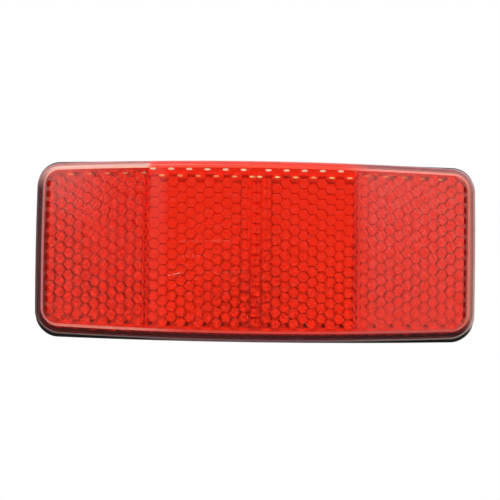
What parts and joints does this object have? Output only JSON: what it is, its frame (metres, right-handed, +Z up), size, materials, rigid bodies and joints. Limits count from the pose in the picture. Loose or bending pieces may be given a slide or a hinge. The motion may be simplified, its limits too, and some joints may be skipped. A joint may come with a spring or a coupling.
{
  "type": "bicycle rear reflector",
  "caption": "Wide red bicycle rear reflector: a bevelled lens with corner-cube prisms moulded on its back, welded to a black housing with studs for a carrier.",
  "frame": {"origin": "middle of the plane of the two boss faces that seat on the carrier, halfway between the studs", "axes": "+X to the right for a viewer who faces the lens, +Z up in use, +Y out of the back along the studs; the lens faces -Y"},
  "size_m": [0.095, 0.0241, 0.0392],
  "materials": {
    "lens_red": "clear red acrylic, polished",
    "housing_black": "black moulded plastic, fine grain",
    "stud_zinc": "bright zinc plate",
    "washer_zinc": "bright zinc plate, punched edges",
    "spring_steel": "zinc plated spring steel, duller",
    "nut_zinc": "bright zinc plate"
  },
  "bodies": {
    "root": {"lens": "lens_red", "housing": "housing_black", "stud_left": "stud_zinc", "washer_left": "washer_zinc", "spring_washer_left": "spring_steel", "nut_left": "nut_zinc", "stud_right": "stud_zinc", "washer_right": "washer_zinc", "spring_washer_right": "spring_steel", "nut_right": "nut_zinc"}
  },
  "joints": []
}
